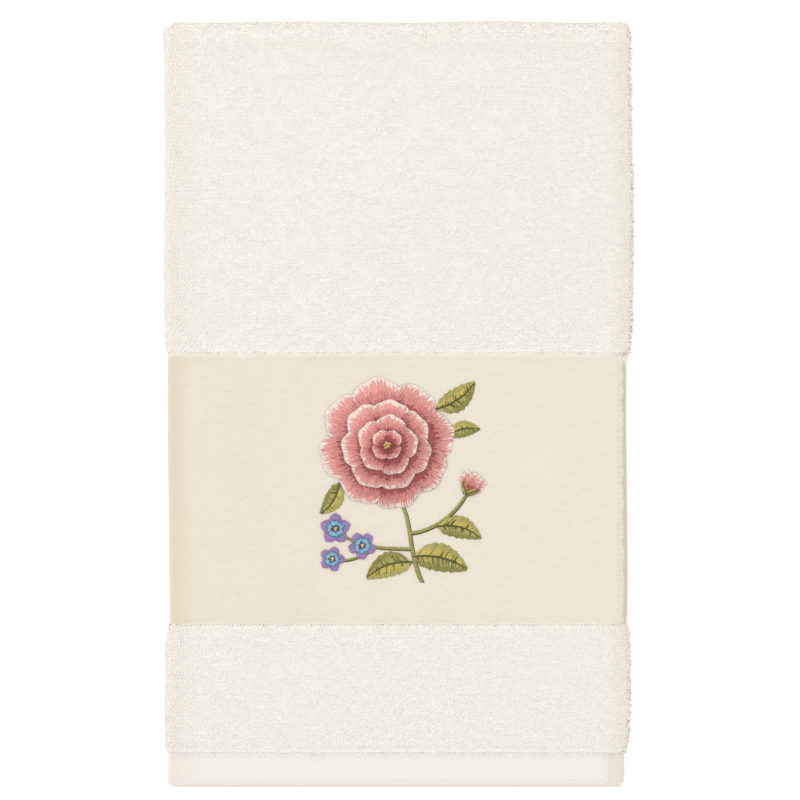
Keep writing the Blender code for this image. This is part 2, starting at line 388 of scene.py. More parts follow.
woven_cotton, shader, links, add = new_material("woven cotton", 0.9)
flat_place, place_across, place_along = flat_places()
warp, weft = waves(place_across, WARP_THREAD, "SINE"), waves(place_along, WEFT_THREAD, "SINE")
weave = weighted(combined(warp, weft, "MULTIPLY"), 0.35, noise(flat_place, 900.0, 4.0))
hem_colour = blended(ramp(weave, -0.1, 1.1), HEM_SHADE, HEM_IVORY)

swirl = noise(flat_place, 170.0, 1.0).node.outputs["Color"]
swirled = add("VectorMath", (0, swirl), (1, STROKE_SWIRL), (2, flat_place), operation="MULTIPLY_ADD")
leaning_strokes = []
for lean in np.radians(STROKE_LEANS):
    turned = add("Mapping", ("Vector", swirled.outputs[0]), ("Rotation", (0, 0, lean)), vector_type="TEXTURE")
    turned.inputs["Scale"].default_value = STROKE_SIZE
    leaning_strokes.append(noise(turned.outputs[0], 1.0, 1.0))
patches = ramp(noise(flat_place, 60.0, 1.0), 0.42, 0.58)
strokes = add("Mix", (0, patches), (2, leaning_strokes[0]), (3, leaning_strokes[1])).outputs[0]
pile_colour = blended(ramp(strokes, 0.3, 0.7), BED_SHADE, BED_IVORY)
on_pile = combined(distance(place_along, TOWEL_LENGTH / 2), TOWEL_LENGTH / 2 - HEM_DEPTH, "LESS_THAN")
colour = blended(on_pile, hem_colour, pile_colour)

# Painted shade near the fold and the side edge, over the turned side hem, in the groove of its seam, in fine
# lines by the side fold and under the hem's binding stitches. The ground is also darker along its bottom
# edge. A paler strip is painted as light where the pile begins, against the shadow of its loops
fold_shade_painted = ramp(place_across, 0.003, 0.016, 0.38, 0.0)
side_shade_painted = ramp(place_across, HALF_WIDTH - 0.010, HALF_WIDTH, 0.0, 0.55)
turned_hem_shade_painted = ramp(place_across, HALF_WIDTH - 0.0076, HALF_WIDTH - 0.0070, 0.0, 0.55)
seam_shade = ramp(distance(place_across, HALF_WIDTH - SIDE_HEM_SEAM), 0.0001, 0.0004, 0.35, 0.0)
fold_line_shade_painted = ramp(waves(place_across, FOLD_LINE_PITCH, "SINE"), 0.0, 1.0)
fold_line_shade_painted = combined(fold_line_shade_painted, ramp(place_across, 0.0025, 0.0050, 0.28, 0.0), "MULTIPLY")
hem_shade = combined(combined(turned_hem_shade_painted, seam_shade, "MAXIMUM"), fold_line_shade_painted, "MAXIMUM")
hem_shade = combined(hem_shade, combined(1.0, on_pile, "SUBTRACT"), "MULTIPLY")
stitch_shade_painted = ramp(place_along, 0.0012, 0.0038, 0.16, 0.0)
bottom_line = ramp(place_along, 0.0009, 0.0015, 0.70, 0.0)
# Painted light: a paler strip where the pile begins, against the shadow of its loops
pile_foot_light_painted = ramp(distance(place_along, HEM_DEPTH + 0.0004), 0.0009, 0.0020, 0.6, 0.0)
shade = fold_shade_painted
for darker in (side_shade_painted, hem_shade, stitch_shade_painted, bottom_line):
    shade = combined(shade, darker, "MAXIMUM")
colour = blended(shade, blended(pile_foot_light_painted, colour, PILE_FOOT_LIGHT), EDGE_SHADE)
relief = add("Mix", (0, on_pile), (2, combined(weave, 0.3, "MULTIPLY")), (3, strokes)).outputs[0]
finish_shader(colour, relief, 0.3, 0.0003, 0.25, 0.6)
ground.data.materials.append(woven_cotton)

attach(ground, "root")
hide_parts("towel")

# ---- The looped pile ---------------------------------------------------------------------------------
# Loops of soft spun cotton that the pile warp throws up between the picks, washed so that they twist and
# lean over each other. They cover both ends, wrap round the folds and the side edges, and stop short of
# the flat hem and of the band.

# A loop's path as shares of its half span and its height, the way out of the loop at each point, and how
# full its yarn is there
LOOP_PATH = np.array(((-1.0, -0.30), (-0.66, 0.88), (0.66, 1.0), (1.0, -0.30)))
LOOP_OUTWARD = np.array(((-1.0, 0.0), (-0.6, 0.8), (0.6, 0.8), (1.0, 0.0)))
LOOP_FULLNESS = np.array((0.8, 1.0, 1.0, 0.8))
YARN_RADIUS = 0.00042
LOOP_HEIGHT = 0.00070
LOOP_HALF_SPAN = 0.00085
ROW_PITCH = 0.00166
WARP_PITCH = 0.00100
LOOP_SUNK = 0.00066
PRESSED_DEPTH = 0.0006
CLUMP = 0.0046
# How far loops lean, per unit of height, in patches and near the side edge, the band and the hem
PATCH_LEAN = 0.20
SIDE_LEAN = 0.7
BAND_LEAN = 0.22
HEM_LEAN = 0.20
# They stand taller round the top fold, and shorter beside the hem and the band
TOP_TALLER = 0.35
HEM_SHORTER = 0.45
BAND_SHORTER = 0.15
# The tone of the yarn, how much painted shade darkens it towards the side edge, the side fold and the top
# fold, and how much painted light makes it paler beside the hem, against the shadow of the loops there
TONE = 0.82
TONE_SPREAD = 0.06
SIDE_PAINTED_SHADE = 0.8
FOLD_PAINTED_SHADE = 0.25
TOP_PAINTED_SHADE = 0.35
HEM_PAINTED_LIGHT = 0.25
IVORY = (0.932, 0.892, 0.816, 1)
IVORY_SHADE = (0.86, 0.81, 0.72, 1)


def soft_noise(u, v, cell, seed):
    """Smooth noise between -1 and 1 with bumps of about one cell."""
    values = np.random.default_rng(seed).uniform(-1, 1, (256, 256))
    u, v = np.asarray(u) / cell, np.asarray(v) / cell
    i, j = np.floor(u).astype(int), np.floor(v).astype(int)
    a, b = smooth_step(u - i), smooth_step(v - j)
    near = between(values[i % 256, j % 256], values[(i + 1) % 256, j % 256], a)
    far = between(values[i % 256, (j + 1) % 256], values[(i + 1) % 256, (j + 1) % 256], a)
    return between(near, far, b)


def unit(vectors):
    return vectors / np.linalg.norm(vectors, axis=1, keepdims=True)


def cloth_frame(across, along, lift):
    """Places on the folded cloth, with the directions across, along and straight out of it there."""
    step = 0.0002
    place = folded(across, along, lift)
    over = unit(folded(across + step, along, lift) - place)
    out = unit(np.cross(over, folded(across, along + step, lift) - place))
    return place, over, np.cross(out, over), out


def scattered(across_range, along_range, across_pitch, along_pitch, seed):
    """Places in uneven rows over a stretch of the flat towel."""
    rng = np.random.default_rng(seed)
    across, along = np.meshgrid(
        np.arange(across_range[0], across_range[1], across_pitch),
        np.arange(along_range[0], along_range[1], along_pitch),
    )
    row = np.arange(across.shape[0])[:, None]
    across = across + across_pitch * (0.5 * (row % 2) + rng.uniform(-0.25, 0.25, across.shape))
    along = along + along_pitch * rng.uniform(-0.3, 0.3, along.shape)
    return across.ravel(), along.ravel()


def joined_tubes(name, points):
    """One mesh of short closed three-sided tubes. points is tubes by rings by three corners.

    What would reach below the surface under the towel is pressed flat on it.
    """
    points = points.copy()
    low = np.minimum(points[..., 2] / PRESSED_DEPTH - 1, 0)
    points[..., 2] = np.where(low < 0, PRESSED_DEPTH * np.exp(low), points[..., 2])
    tubes, rings = points.shape[:2]
    ring, corner = np.meshgrid(np.arange(rings - 1), np.arange(3), indexing="ij")
    following = (corner + 1) % 3
    sides = [ring * 3 + corner, ring * 3 + following, ring * 3 + 3 + following, ring * 3 + 3 + corner]
    sides = np.stack(sides, axis=-1).reshape(-1, 4)
    ends = np.array(((2, 1, 0), (3 * rings - 3, 3 * rings - 2, 3 * rings - 1)))
    first = np.arange(tubes)[:, None, None] * 3 * rings
    faces = (sides + first).reshape(-1, 4).tolist() + (ends + first).reshape(-1, 3).tolist()
    mesh = bpy.data.meshes.new(name)
    mesh.from_pydata(points.reshape(-1, 3), [], faces)
    mesh.shade_smooth()
    piece = bpy.data.objects.new(name, mesh)
    bpy.context.scene.collection.objects.link(piece)
    return piece


def loop_points(frame_of_loops, height, turn, lean_over, lean_up, seed):
    """The corners of loops that stand in the cloth at the given frames, each turned about its foot."""
    place, over, up, out = (vectors[:, None, None, :] for vectors in frame_of_loops)
    rng = np.random.default_rng(seed)
    count = len(place)
    height = (height * rng.uniform(0.87, 1.13, count))[:, None, None]
    half_span = (LOOP_HALF_SPAN * rng.uniform(0.75, 1.25, count))[:, None, None]
    yarn = (YARN_RADIUS * rng.uniform(0.85, 1.15, count))[:, None, None]
    yarn = yarn * LOOP_FULLNESS[:, None]
    corner = 2 * np.pi * (np.arange(3) + 0.5) / 3
    section_out, section_side = np.cos(corner), np.sin(corner)
    run = LOOP_PATH[:, 0, None] * half_span + yarn * section_out * LOOP_OUTWARD[:, 0, None]
    rise = LOOP_PATH[:, 1, None] * height + yarn * section_out * LOOP_OUTWARD[:, 1, None]
    aside = -yarn * section_side + 0 * run

    turn = turn[:, None, None] + rng.uniform(-0.8, 0.8, count)[:, None, None] * rise / height
    x = run * np.cos(turn) - aside * np.sin(turn) + lean_over[:, None, None] * rise
    y = run * np.sin(turn) + aside * np.cos(turn) + lean_up[:, None, None] * rise
    lying = 1 / np.sqrt(1 + lean_over**2 + lean_up**2)[:, None, None]
    rise = rise * np.maximum(lying, 0.6)
    return place + x[..., None] * over + y[..., None] * up + rise[..., None] * out


def pile_leans(across, along, seed):
    """How far the loops lean across and along the towel, per unit of height."""
    lean_over, lean_up = (
        PATCH_LEAN * soft_noise(across, along, CLUMP, number)
        + PATCH_LEAN * soft_noise(across, along, CLUMP / 3, number + 1)
        for number in (seed, seed + 2)
    )
    to_edge = HALF_WIDTH - np.abs(across)
    lean_over = lean_over + SIDE_LEAN * np.sign(across) * (1 - smooth_step(to_edge / 0.007))
    by_band = 1 - smooth_step(np.abs(along - BAND_HIGH - 0.0008) / 0.0045)
    lean_up = np.where(along > BAND_HIGH, lean_up - BAND_LEAN * by_band, lean_up)
    lean_up = lean_up - HEM_LEAN * (1 - smooth_step((along - HEM_DEPTH) / 0.0045))
    return lean_over, lean_up


def pile_field(across_range, along_range, pitch, seed):
    """Loops over a stretch of the right side of the cloth."""
    across, along = scattered(across_range, along_range, *pitch, seed)
    *_, ground_there = section_at(np.minimum(along, TOWEL_LENGTH - along))
    loops = cloth_frame(across, along, ground_there / 2 - LOOP_SUNK)
    rng = np.random.default_rng(seed + 6)
    turn = np.pi / 2 + 0.7 * soft_noise(across, along, 0.011, seed + 4) + rng.uniform(-0.4, 0.4, len(across))
    lean_over, lean_up = pile_leans(across, along, seed)

    round_fold = np.clip((along - FLAT_LENGTH) / TOP_FOLD_LENGTH, 0, 1)
    by_hem = 1 - smooth_step((along - HEM_DEPTH) / 0.0035)
    by_band = 1 - smooth_step(np.abs(along - BAND_HIGH) / 0.0030)
    height = LOOP_HEIGHT * (1 + TOP_TALLER * np.sin(np.pi * round_fold))
    height = height * (1 - HEM_SHORTER * by_hem - BAND_SHORTER * by_band)
    points = loop_points(loops, height, turn, lean_over, lean_up, seed + 5)

    tones_and_painted_light = TONE + TONE_SPREAD * soft_noise(across, along, 0.012, seed + 7)
    tones_and_painted_light = tones_and_painted_light + rng.uniform(-TONE_SPREAD, TONE_SPREAD, len(across))
    # Painted shade near the side edge, the side fold and the top fold, and painted light beside the hem, join
    # the random tones
    side_shade_painted = smooth_step((across - HALF_WIDTH + 0.012) / 0.012)
    fold_shade_painted = 1 - smooth_step((across - 0.002) / 0.010)
    top_shade_painted = smooth_step((along - FLAT_LENGTH + 0.010) / 0.010)
    hem_light_painted = 1 - smooth_step((along - HEM_DEPTH) / 0.008)
    darker = np.maximum(np.maximum(SIDE_PAINTED_SHADE * side_shade_painted, FOLD_PAINTED_SHADE * fold_shade_painted), TOP_PAINTED_SHADE * top_shade_painted)
    return points, tones_and_painted_light + HEM_PAINTED_LIGHT * hem_light_painted - darker


OUTER_LAYER = (SIDE_FOLD_HALF, HALF_WIDTH - 0.0012)
SIDE_FOLD = (-SIDE_FOLD_HALF, SIDE_FOLD_HALF)
LOWER_PILE = (HEM_DEPTH + 0.0007, BAND_LOW - 0.0001)
UPPER_PILE = (BAND_HIGH + 0.0003, FLAT_LENGTH)
TOP_FOLD = (FLAT_LENGTH, FLAT_LENGTH + TOP_FOLD_LENGTH)
FAR_PILE = (FLAT_LENGTH + TOP_FOLD_LENGTH, TOWEL_LENGTH - HEM_DEPTH - 0.0012)
UPPER_MIDDLE = (BAND_HIGH + FLAT_LENGTH) / 2
EVEN_PITCH = (WARP_PITCH, ROW_PITCH)
TOP_FOLD_PITCH = (0.0012, 0.0014)
SIDE_FOLD_PITCH = (0.00085, ROW_PITCH)

upper_near_band = pile_field(OUTER_LAYER, (UPPER_PILE[0], UPPER_MIDDLE), EVEN_PITCH, 11)
upper_near_top = pile_field(OUTER_LAYER, (UPPER_MIDDLE, FLAT_LENGTH), EVEN_PITCH, 31)
lower_loops = pile_field(OUTER_LAYER, LOWER_PILE, EVEN_PITCH, 51)
top_fold = pile_field(OUTER_LAYER, TOP_FOLD, TOP_FOLD_PITCH, 91)
side_folds = [
    pile_field(SIDE_FOLD, stretch, SIDE_FOLD_PITCH, seed)
    for stretch, seed in ((LOWER_PILE, 111), (UPPER_PILE, 131), (TOP_FOLD, 151), (FAR_PILE, 171))
]

# Round a side edge: the share of the way from face to face between two loops, and their pitch along it
EDGE_SPREAD = 0.26
EDGE_PITCH = 0.0019


def edge_loops(side, along_range, seed):
    """Loops that stand out all round the turned side edge of a layer."""
    spread, along = scattered((0.0, 1.0), along_range, EDGE_SPREAD, EDGE_PITCH, seed)
    tilt = np.pi * np.clip(spread, 0.05, 0.85)
    across = np.full(len(along), side * (HALF_WIDTH - 0.0005))
    place, over, up, out = cloth_frame(across, along, (PILE_BED / 2 - LOOP_SUNK) * np.cos(tilt))
    cos, sin = np.cos(tilt)[:, None], side * np.sin(tilt)[:, None]
    turned = place, cos * over - sin * out, up, cos * out + sin * over
    rng = np.random.default_rng(seed + 1)
    leans = rng.uniform(-0.5, 0.5, (2, len(along)))
    turn = rng.uniform(0, np.pi, len(along))
    height = LOOP_HEIGHT * rng.uniform(0.6, 1.5, len(along))
    points = loop_points(turned, height, turn, *leans, seed + 2)
    # Their tones sit a little below the pile's: painted shade on the turned edge
    return points, rng.uniform(0.6, 0.95, len(along))


free_edges = [
    edge_loops(side, stretch, seed)
    for side, stretch, seed in (
        (1, LOWER_PILE, 211),
        (1, UPPER_PILE, 221),
        (1, TOP_FOLD, 231),
        (1, FAR_PILE, 241),
        (-1, LOWER_PILE, 251),
        (-1, (BAND_LOW, FLAT_LENGTH), 261),
        (-1, FAR_PILE, 271),
    )
]

pile_yarn, shader, links, add = new_material("pile yarn", 0.95)
fibres = noise(add("TexCoord").outputs["Object"], 2600.0, 3.0)
# The tone attribute carries the yarn's random tone together with the painted shade and light
tone_and_painted_light = combined(add("Attribute", attribute_name="tone_and_painted_light").outputs["Fac"], fibres, "ADD")
finish_shader(blended(ramp(tone_and_painted_light, 0.5, 1.5), IVORY_SHADE, IVORY), fibres, 0.25, 0.0001, 0.3, 0.6)

for name, fields in (
    ("upper_pile_near_band", [upper_near_band]),
    ("upper_pile_near_top", [upper_near_top]),
    ("lower_pile", [lower_loops]),
    ("fold_pile", [top_fold, *side_folds]),
    ("edge_pile", free_edges),
):
    points = np.concatenate([field[0] for field in fields])
    tones_and_painted_light = np.concatenate([field[1] for field in fields])
    piece = joined_tubes(name, points)
    shade = piece.data.attributes.new("tone_and_painted_light", "FLOAT", "POINT")
    shade.data.foreach_set("value", np.repeat(tones_and_painted_light, 3 * points.shape[1]))
    piece.data.materials.append(pile_yarn)
    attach(piece, "root")

# ---- The band ----------------------------------------------------------------------------------------
# Between the two stretches of loops the pile is sheared into a smooth velour band, dense and matt, that
# lies a little lower than the loops and wraps round the side fold. Near its free side the lockstitch of
# the side hem pulls it down in small puckers.

VELOUR_TOP = 0.0015
VELOUR_UNDER = -0.0004
VELOUR_INNER_END = -0.0115
FINE_NAP = 0.00003
COARSE_NAP = 0.00004
BAND_ROUNDING = 0.0004
# The share of its height that the velour keeps at its borders and at its turned side edge
BORDER_SHARE = 0.6
SIDE_SHARE = 0.05
BAND_TUCK = 0.0004
SIDE_ROUNDING = 0.0024
PUCKER_PITCH = 0.0023
PUCKER_DEPTH = 0.00025
SEAM_FROM_SIDE = 0.0031
SEAM_HALF_WIDTH = 0.0011


def velour_lift(across, along, side):
    to_side = HALF_WIDTH - across
    to_border = np.minimum(along - BAND_LOW, BAND_HIGH + BAND_TUCK - along)
    inside = np.clip(to_border / BAND_ROUNDING, 0, 1)
    edge = BORDER_SHARE + (1 - BORDER_SHARE) * np.sqrt(1 - (1 - inside) ** 2)
    turned = np.clip(to_side / SIDE_ROUNDING, 0, 1)
    edge = edge * np.maximum(np.sqrt(1 - (1 - turned) ** 2), SIDE_SHARE)
    nap = FINE_NAP * soft_noise(across, along, 0.0013, 301)
    nap = nap + COARSE_NAP * soft_noise(across, along, 0.006, 302)
    pucker = 0.5 + 0.5 * np.cos(2 * np.pi * along / PUCKER_PITCH)
    seam = np.exp(-(((to_side - SEAM_FROM_SIDE) / SEAM_HALF_WIDTH) ** 2))
    groove = PUCKER_DEPTH * seam * pucker
    top = VELOUR_TOP * edge + (nap - groove) * edge
    return np.where(side > 0, top, VELOUR_UNDER * edge)


side_lines = HALF_WIDTH - np.array((0.0, 0.00015, 0.0004, 0.0008, 0.0013, 0.0018, 0.0023))
band_across = stations(
    (VELOUR_INNER_END, -SIDE_FOLD_HALF, 5),
    (-SIDE_FOLD_HALF, SIDE_FOLD_HALF, 14),
    (SIDE_FOLD_HALF, HALF_WIDTH - 0.007, 26),
    (HALF_WIDTH - 0.007, HALF_WIDTH - 0.0023, 14),
)
band_across = np.unique(np.concatenate((band_across, side_lines)).round(7))
band_along = stations(
    (BAND_LOW, BAND_LOW + 0.0010, 5),
    (BAND_LOW + 0.0010, BAND_HIGH - 0.0010, 210),
    (BAND_HIGH - 0.0010, BAND_HIGH + BAND_TUCK, 6),
)
band = folded_slab("velour_band", band_across, band_along, velour_lift)

VELOUR = (0.85, 0.79, 0.675, 1)
VELOUR_SHADE = (0.675, 0.615, 0.50, 1)
# Painted colours: shade where the band rounds over the side fold, shade on its turned edge and seam dips, and
# light beside the loops
VELOUR_FOLD_SHADE = (0.70, 0.61, 0.47, 1)
VELOUR_EDGE_SHADE = (0.585, 0.52, 0.41, 1)
VELOUR_BORDER_LIGHT = (0.93, 0.87, 0.75, 1)
NEAR_FOLD_TINT = (0.981, 0.963, 0.964, 1)

velour, shader, links, add = new_material("sheared velour", 0.95)
flat_place, place_across, place_along = flat_places()
nap = noise(flat_place, 2100.0, 2.0)
nap.node.inputs["Roughness"].default_value = 0.6
stretched = add("Mapping", ("Vector", flat_place), ("Scale", (0.4, 1.0, 1.0)))
lay = noise(stretched.outputs[0], 420.0, 2.0)
mixed = weighted(noise(flat_place, 45.0, 1.0), 0.5, weighted(nap, 5.2, lay))
colour = blended(ramp(mixed, 2.15, 4.55), VELOUR_SHADE, VELOUR)
colour = blended(ramp(place_across, 0.040, 0.165, 1.0, 0.0), colour, NEAR_FOLD_TINT)
colour.node.blend_type = "MULTIPLY"
# Painted shade, warm in hue, where the band rounds over the side fold
band_fold_shade_painted = ramp(place_across, 0.001, 0.0125, 1.0, 0.0)
band_fold_shade_painted.node.interpolation_type = "SMOOTHSTEP"
colour = blended(band_fold_shade_painted, colour, VELOUR_FOLD_SHADE)

# Painted light pales the nap beside the loops; painted shade darkens the seam's dips and the turned edge
light_painted_below_loops = ramp(place_along, BAND_HIGH - 0.0026, BAND_HIGH, 0.0, 0.9)
light_painted_above_loops = ramp(place_along, BAND_LOW, BAND_LOW + 0.0011, 0.5, 0.0)
inside_seam = ramp(place_across, HALF_WIDTH - 0.004, HALF_WIDTH - 0.012)
border_light_painted = combined(combined(light_painted_below_loops, light_painted_above_loops, "MAXIMUM"), inside_seam, "MULTIPLY")
colour = blended(border_light_painted, colour, VELOUR_BORDER_LIGHT)
# Painted shade in the dips along the side seam and on the turned edge
on_seam = ramp(distance(place_across, HALF_WIDTH - SEAM_FROM_SIDE), 0.0008, 0.0014, 0.14, 0.0)
dip_shade_painted = combined(ramp(waves(place_along, PUCKER_PITCH, "COSINE"), 0.0, 1.0), on_seam, "MULTIPLY")
wobble = weighted(noise(flat_place, 240.0, 1.0), 0.0020, place_across)
edge_shade_painted = ramp(wobble, HALF_WIDTH - 0.0014, HALF_WIDTH - 0.0005)
colour = blended(combined(dip_shade_painted, edge_shade_painted, "MAXIMUM"), colour, VELOUR_EDGE_SHADE)
finish_shader(colour, nap, 0.7, 0.00015, 0.4, 0.5)
band.data.materials.append(velour)

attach(band, "root")

# ---- The sewing --------------------------------------------------------------------------------------
# Fine cotton thread: close upright stitches hold down the turned end hem along its seam, a lockstitch holds
# the side hem, and three rows of close slanted stitches bind the hem's lower edge.

# A stitch's path as shares of its length, and of its rise above the cloth
STITCH_PATH = np.array(((0.0, -1.5), (0.18, 1.0), (0.82, 1.0), (1.0, -1.5)))


def sewn(start, end, lift, width, rise):
    """The corners of stitches from start to end, which are places on the flat cloth."""
    shares, rises = STITCH_PATH.T
    flat = start[:, None, :] + shares[:, None] * (end - start)[:, None, :]
    height = np.broadcast_to(lift, len(start))[:, None] + rises * rise
    place, _, _, out = cloth_frame(flat[..., 0].ravel(), flat[..., 1].ravel(), height.ravel())
    place, out = place.reshape(-1, 4, 3), out.reshape(-1, 4, 3)
    forward = unit(place[:, 3] - place[:, 0])[:, None, :]
    aside = np.cross(forward, out) * (width / 2)
    return np.stack((place - aside, place + out * rise, place + aside), axis=2)


sewing_rng = np.random.default_rng(351)

# A row of slanted stitches along the hem: where their tops are above its edge, how far each runs aside and
# down, and how wide its thread is and how high it lies
HemRow = namedtuple("HemRow", "top run drop width rise")
HEM_SEAM = HemRow(HEM_DEPTH - 0.0006, 0.0002, 0.0015, 0.00042, 0.00007)
BINDING = (
    HemRow(0.0037, 0.0007, 0.0010, 0.00046, 0.00012),
    HemRow(0.0027, -0.0007, 0.0010, 0.00046, 0.00012),
    HemRow(0.0017, 0.0007, 0.0010, 0.00046, 0.00012),
)
HEM_STITCH_PITCH = 0.00145
HEM_STITCH_LIFT = 0.00113


def slanted_row(row):
    across = np.arange(SIDE_FOLD_HALF - 0.001, HALF_WIDTH - 0.0030, HEM_STITCH_PITCH)
    across = across + HEM_STITCH_PITCH * sewing_rng.uniform(-0.10, 0.10, len(across))
    top = row.top + 0.12 * row.drop * sewing_rng.uniform(-1, 1, len(across))
    start = np.column_stack((across, top))
    return sewn(start, start + (row.run, -row.drop), HEM_STITCH_LIFT, row.width, row.rise)


hem_seam = slanted_row(HEM_SEAM)

# The lockstitch of the side hem, over the band and then over the end hem
STITCH_GAP = 0.0004
SIDE_STITCH_STRAY = 0.00025
HEM_SIDE_SEAM_FROM_SIDE = 0.0088
HEM_SIDE_STITCHES = 6

side_seam_along = np.arange(BAND_LOW + 0.0006, BAND_HIGH - 0.001, PUCKER_PITCH)
side_start = np.column_stack((np.full(len(side_seam_along), HALF_WIDTH - SEAM_FROM_SIDE), side_seam_along))
side_start = side_start + sewing_rng.uniform(-SIDE_STITCH_STRAY, SIDE_STITCH_STRAY, side_start.shape)
side_end = side_start + (0.0, PUCKER_PITCH - STITCH_GAP)
side_seam = sewn(side_start, side_end, lift=0.00138, width=0.00055, rise=0.0003)

hem_side_along = 0.0010 + PUCKER_PITCH * np.arange(HEM_SIDE_STITCHES)
hem_side_across = np.full(HEM_SIDE_STITCHES, HALF_WIDTH - HEM_SIDE_SEAM_FROM_SIDE)
hem_side_start = np.column_stack((hem_side_across, hem_side_along))
hem_side_end = hem_side_start + (0.0, PUCKER_PITCH - STITCH_GAP)
hem_side_seam = sewn(hem_side_start, hem_side_end, lift=0.00125, width=0.0004, rise=0.0002)

binding = [slanted_row(row) for row in BINDING]

THREAD_IVORY = (0.95, 0.92, 0.86, 1)
THREAD_SHADE = (0.88, 0.84, 0.76, 1)

sewing_thread, shader, links, add = new_material("sewing thread", 0.7)
fibres = noise(add("TexCoord").outputs["Object"], 3200.0, 2.0)
finish_shader(blended(fibres, THREAD_SHADE, THREAD_IVORY), fibres, 0.5, 0.00005, 0.2, 0.5)

seams = np.concatenate((hem_seam, side_seam, hem_side_seam, *binding))
sewing = joined_tubes("sewing", seams)
sewing.data.materials.append(sewing_thread)
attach(sewing, "root")

# ---- The embroidery ----------------------------------------------------------------------------------
# A spray of flowers worked through the band in lustrous stranded thread: a round bloom of petals in long
# and short stitches, leaves in slanted satin stitch on corded stems, and small blossoms with knots.

STRAND_PITCH = 0.00038
STRAND_WIDTH = 0.00048
STRAND_RISE = 0.00017

PALE_ROSE = (0.93, 0.80, 0.72)
LIGHT_ROSE = (0.84, 0.40, 0.36)
ROSE = (0.70, 0.27, 0.245)
DEEP_ROSE = (0.40, 0.085, 0.085)
DARK_ROSE = (0.24, 0.040, 0.045)
YELLOW_GREEN = (0.60, 0.50, 0.12)
LIGHT_OLIVE = (0.46, 0.40, 0.12)
OLIVE = (0.30, 0.27, 0.065)
DARK_OLIVE = (0.12, 0.12, 0.022)
VIOLET = (0.38, 0.22, 0.50)
DEEP_VIOLET = (0.12, 0.06, 0.20)
TEAL = (0.07, 0.22, 0.34)
LIGHT_TEAL = (0.25, 0.52, 0.60)
GOLD = (0.82, 0.56, 0.16)

needle = np.random.default_rng(401)


def on_band(places):
    """Takes places on the front of the folded towel to the flat cloth."""
    along = places[:, 1] - HEM_Y
    left, right, layer, air, _ = section_at(along)
    centre_x = layer + air / 2 - left
    reach = (places[:, 0] - centre_x) / (right - centre_x)
    return np.column_stack((between(SIDE_FOLD_HALF, HALF_WIDTH, reach), along))


def stitches(start, end, height, colour):
    """A group of stitches: their two ends, how high they lie on the band, and their colours."""
    count = len(start)
    shade = needle.uniform(0.86, 1.14, (count, 1))
    return start, end, np.broadcast_to(height, count), shade * np.broadcast_to(colour, (count, 3))


# The bands that fill a petal from its foot to its rim: where the stitches of each start and end, as
# shares of the petal's length, their colour, and how far they lie over the band before
PetalBand = namedtuple("PetalBand", "start end colour rise")
ROSE_PETAL = (
    PetalBand(0.0, 0.34, DARK_ROSE, 0.0),
    PetalBand(0.18, 0.62, DEEP_ROSE, 0.00005),
    PetalBand(0.42, 0.84, ROSE, 0.00010),
    PetalBand(0.64, 1.0, LIGHT_ROSE, 0.00014),
    PetalBand(0.87, 1.0, PALE_ROSE, 0.00024),
)
BLOSSOM_PETAL = (
    PetalBand(0.0, 0.50, DEEP_VIOLET, 0.0),
    PetalBand(0.25, 1.0, VIOLET, 0.00006),
    PetalBand(0.15, 0.66, TEAL, 0.00014),
    PetalBand(0.18, 0.48, LIGHT_TEAL, 0.00020),
)
PETAL_TILT = 0.00016
RAGGED = 0.10


def petal(centre, turn, foot, length, width, height, bands, shadow=0.0):
    """Stitches that fan out from a petal's foot to its rippled rim, with ragged ends between bands.

    foot is how far the petal starts from the centre, and a shadow above 0 carries its dark bands further.
    """
    side = np.arange(-1, 1, 2 * STRAND_PITCH / width)
    rim = 1 - 0.24 * side**2 - 0.14 * side**6 + 0.03 * np.sin(6 * side + 5 * turn)
    groups = []
    for band in bands:
        ends = []
        for share in (band.start, band.end):
            ragged = needle.uniform(-RAGGED, RAGGED, len(side)) if 0 < share < 1 else 0
            share = share ** (1 / (1 + shadow)) + ragged
            out = foot + length * share * rim
            aside = width / 2 * side * (0.42 + 0.58 * np.sin(np.pi / 2 * np.clip(share, 0, 1)))
            x = centre[0] + out * np.cos(turn) - aside * np.sin(turn)
            y = centre[1] + out * np.sin(turn) + aside * np.cos(turn)
            ends.append(np.column_stack((x, y)))
        lift = height + band.rise + PETAL_TILT * side
        groups.append(stitches(*ends, lift, (1 - 0.22 * shadow) * np.array(band.colour)))
    return groups


def soft_curve(*steering):
    """Places one strand apart along a soft curve steered by four points."""
    a, b, c, d = np.array(steering)
    share = np.linspace(0, 1, 200)[:, None]
    rest = 1 - share
    line = a * rest**3 + 3 * b * share * rest**2 + 3 * c * share**2 * rest + d * share**3
    run = np.concatenate(([0], np.cumsum(np.hypot(*np.diff(line, axis=0).T))))
    steps = np.arange(0, run[-1], STRAND_PITCH)
    return np.column_stack([np.interp(steps, run, column) for column in line.T])


def corded(route, start_width, end_width, height, colour):
    """Close slanted stitches across a route, which make a raised cord."""
    forward = unit(np.gradient(route, axis=0))
    across = np.column_stack((-forward[:, 1], forward[:, 0])) + 0.7 * forward
    half = np.linspace(start_width, end_width, len(route))[:, None] / 2
    colour = np.broadcast_to(colour, (len(route), 3)).copy()
    colour[::3] *= 0.5
    return [stitches(route - half * across, route + half * across, height, colour)]


FLECKED = 0.28


